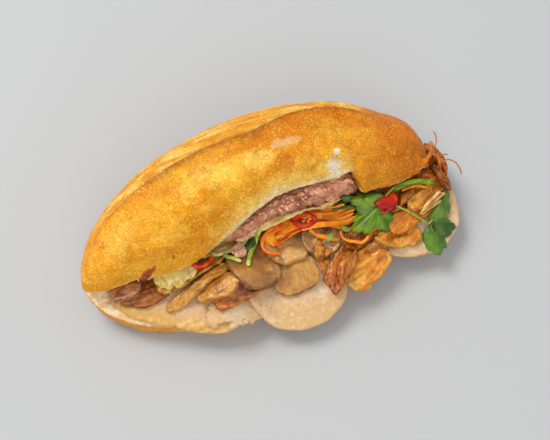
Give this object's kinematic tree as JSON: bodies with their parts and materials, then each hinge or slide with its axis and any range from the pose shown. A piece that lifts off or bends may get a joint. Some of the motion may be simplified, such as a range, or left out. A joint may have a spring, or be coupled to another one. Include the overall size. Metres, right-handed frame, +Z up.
{
  "type": "banh mi sandwich",
  "caption": "Crusty bread roll split along one side and propped open by sliced pork roll, roast pork, pate, shredded carrot, cucumber and chilli.",
  "frame": {"origin": "on the plane it rests on, under the middle of its bounding box", "axes": "+X along the roll towards the end where the filling spills out, -Y towards the open front of the roll, +Z up"},
  "size_m": [0.2146, 0.1198, 0.0675],
  "materials": {
    "bread_crust": "golden baked crust, satin, with a pale crumb inside",
    "pork_roll": "pale moist steamed pork roll with fine pores",
    "roast_pork": "moist roast pork, tan lean with brown edges and fat",
    "pate": "rough spread, pinkish brown",
    "carrot": "pickled carrot, wet and translucent",
    "cucumber": "wet pale flesh with a dark green rind",
    "chilli": "glossy red chilli",
    "spring_onion": "fresh green stems",
    "crisp_shreds": "fried shreds, dry and crisp"
  },
  "bodies": {
    "root": {"bread_roll": "bread_crust", "carrot_shred_1": "carrot", "carrot_shred_2": "carrot", "carrot_shred_3": "carrot", "carrot_shred_4": "carrot", "carrot_shreds": "carrot", "chilli_ring_1": "chilli", "chilli_ring_2": "chilli", "chilli_ring_3": "chilli", "chilli_ring_4": "chilli", "crisp_shreds": "crisp_shreds", "cucumber_slice_1": "cucumber", "cucumber_slice_2": "cucumber", "cucumber_slice_3": "cucumber", "pate": "pate", "pate_lump": "pate", "pork_roll_slice_left": "pork_roll", "pork_roll_slice_middle": "pork_roll", "pork_roll_slice_right": "pork_roll", "pork_roll_slice_torn": "pork_roll", "roast_pork_01": "roast_pork", "roast_pork_02": "roast_pork", "roast_pork_03": "roast_pork", "roast_pork_04": "roast_pork", "roast_pork_05": "roast_pork", "roast_pork_06": "roast_pork", "roast_pork_07": "roast_pork", "roast_pork_08": "roast_pork", "roast_pork_09": "roast_pork", "roast_pork_10": "roast_pork", "roast_pork_11": "roast_pork", "roast_pork_12": "roast_pork", "roast_pork_13": "roast_pork", "roast_pork_14": "roast_pork", "roast_pork_15": "roast_pork", "roast_pork_16": "roast_pork", "roast_pork_17": "roast_pork", "roast_pork_18": "roast_pork", "roast_pork_19": "roast_pork", "roast_pork_20": "roast_pork", "roast_pork_21": "roast_pork", "spring_onion_blade": "spring_onion", "spring_onion_pale_1": "spring_onion", "spring_onion_pale_2": "spring_onion", "spring_onion_stem_1": "spring_onion", "spring_onion_stem_2": "spring_onion"}
  },
  "joints": []
}
